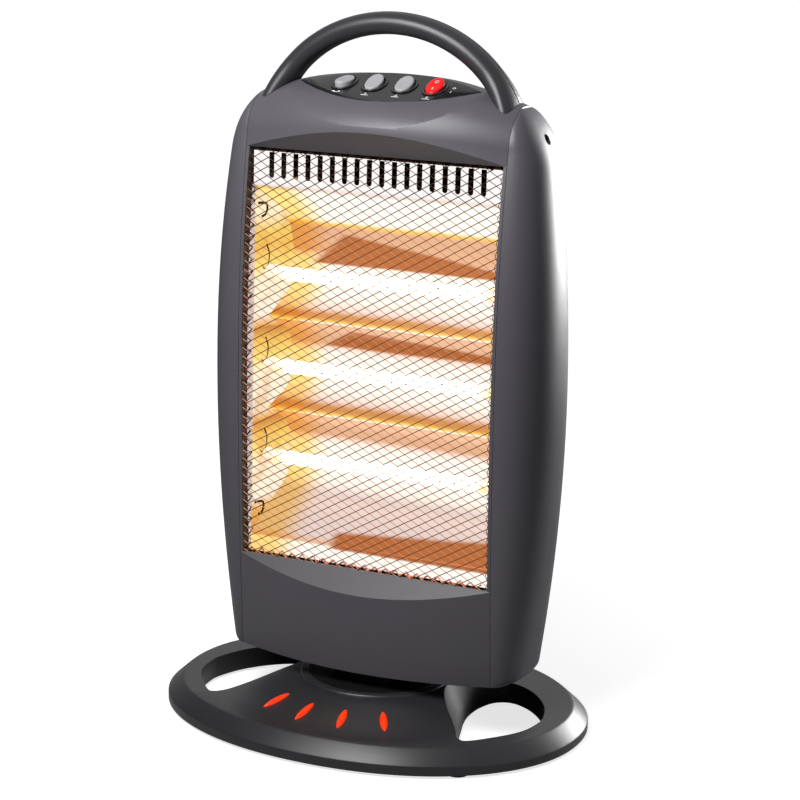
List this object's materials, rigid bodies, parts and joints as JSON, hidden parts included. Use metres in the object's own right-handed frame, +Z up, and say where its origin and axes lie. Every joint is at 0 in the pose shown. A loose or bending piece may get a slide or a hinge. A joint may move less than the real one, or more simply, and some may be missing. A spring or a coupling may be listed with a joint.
{
  "type": "halogen heater",
  "caption": "Upright radiant heater with halogen lamps before a troughed reflector, wire guard, carry handle, rocker switches and an open oval base that it swings on.",
  "frame": {"origin": "centre of the base's oval, on the floor under the feet", "axes": "+Z up, -Y is the front with the lamps, +X is to the right of a viewer who looks at the front"},
  "size_m": [0.322, 0.251, 0.5146],
  "materials": {
    "charcoal": "fine matt",
    "dark_plastic": "satin",
    "black_plastic": "matt",
    "gloss_black": "gloss",
    "grey_plastic": "satin",
    "red_plastic": "satin",
    "red_lens": "gloss, translucent",
    "rubber": "matt",
    "reflector_metal": "polished",
    "steel": "satin",
    "guard_wire": "darkened",
    "quartz": "frosted",
    "ceramic": "matt"
  },
  "bodies": {
    "base": {"base_shell": "dark_plastic", "base_bottom_plate": "black_plastic", "indicator_lens_1": "red_lens", "indicator_lens_2": "red_lens", "indicator_lens_3": "red_lens", "indicator_lens_4": "red_lens", "rubber_foot_1": "rubber", "rubber_foot_2": "rubber", "rubber_foot_3": "rubber", "rubber_foot_4": "rubber", "cord_gland": "rubber", "tip_switch_body": "black_plastic", "swivel_race": "steel", "swivel_collar": "dark_plastic", "pivot_tube": "steel", "drive_arm": "steel", "pivot_nut": "steel"},
    "tip_plunger": {"tip_plunger": "grey_plastic"},
    "head": {"turntable_disc": "steel", "motor_bracket": "steel", "oscillation_motor": "steel", "front_housing": "charcoal", "rear_housing": "charcoal", "right_side_cover": "charcoal", "left_side_cover": "charcoal", "handle_front": "dark_plastic", "handle_rear": "dark_plastic", "control_panel": "gloss_black", "oscillation_switch": "black_plastic", "power_1_switch": "black_plastic", "power_2_switch": "black_plastic", "power_3_switch": "black_plastic", "wire_guard": "guard_wire", "reflector": "reflector_metal", "reflector_cheek_right": "reflector_metal", "reflector_cheek_left": "reflector_metal", "lamp_tube_1": "quartz", "lamp_tube_2": "quartz", "lamp_tube_3": "quartz", "lamp_cap_right_1": "ceramic", "lamp_cap_left_1": "ceramic", "lamp_cap_right_2": "ceramic", "lamp_cap_left_2": "ceramic", "lamp_cap_right_3": "ceramic", "lamp_cap_left_3": "ceramic", "heat_shield": "steel", "handle_screw_right": "steel", "handle_screw_left": "steel", "cover_screw_right": "steel", "cover_screw_left": "steel", "rear_screw_1": "steel", "rear_screw_2": "steel", "rear_screw_3": "steel", "rear_screw_4": "steel"},
    "crank": {"drive_crank": "grey_plastic"},
    "oscillation_rocker": {"oscillation_rocker": "grey_plastic"},
    "power_1_rocker": {"power_1_rocker": "grey_plastic"},
    "power_2_rocker": {"power_2_rocker": "grey_plastic"},
    "power_3_rocker": {"power_3_rocker": "red_plastic"}
  },
  "joints": [
    {"name": "head_swing", "type": "hinge", "parent": "base", "child": "head", "pos_m": [0, 0, 0.035], "axis": [0, 0, 1], "range_deg": [-35, 35]},
    {"name": "crank_turn", "type": "hinge", "parent": "head", "child": "crank", "pos_m": [0, 0.024, 0.061], "axis": [0, 0, 1], "range_deg": [-116, 116]},
    {"name": "oscillation_rocker_tilt", "type": "hinge", "parent": "head", "child": "oscillation_rocker", "pos_m": [-0.03525, -0.002, 0.463], "axis": [1, 0, 0], "range_deg": [0, 18]},
    {"name": "power_1_rocker_tilt", "type": "hinge", "parent": "head", "child": "power_1_rocker", "pos_m": [-0.01175, -0.002, 0.463], "axis": [1, 0, 0], "range_deg": [-18, 0]},
    {"name": "power_2_rocker_tilt", "type": "hinge", "parent": "head", "child": "power_2_rocker", "pos_m": [0.01175, -0.002, 0.463], "axis": [1, 0, 0], "range_deg": [-18, 0]},
    {"name": "power_3_rocker_tilt", "type": "hinge", "parent": "head", "child": "power_3_rocker", "pos_m": [0.03525, -0.002, 0.463], "axis": [1, 0, 0], "range_deg": [-18, 0]},
    {"name": "tip_plunger_slide", "type": "slide", "parent": "base", "child": "tip_plunger", "axis": [0, 0, 1], "range_m": [-0.004, 0], "stiffness_N_per_m": 60, "springref_m": -0.012}
  ],
  "couplings": [
    {"joint": "crank_turn", "follows": "head_swing", "ratio": -3.25}
  ]
}
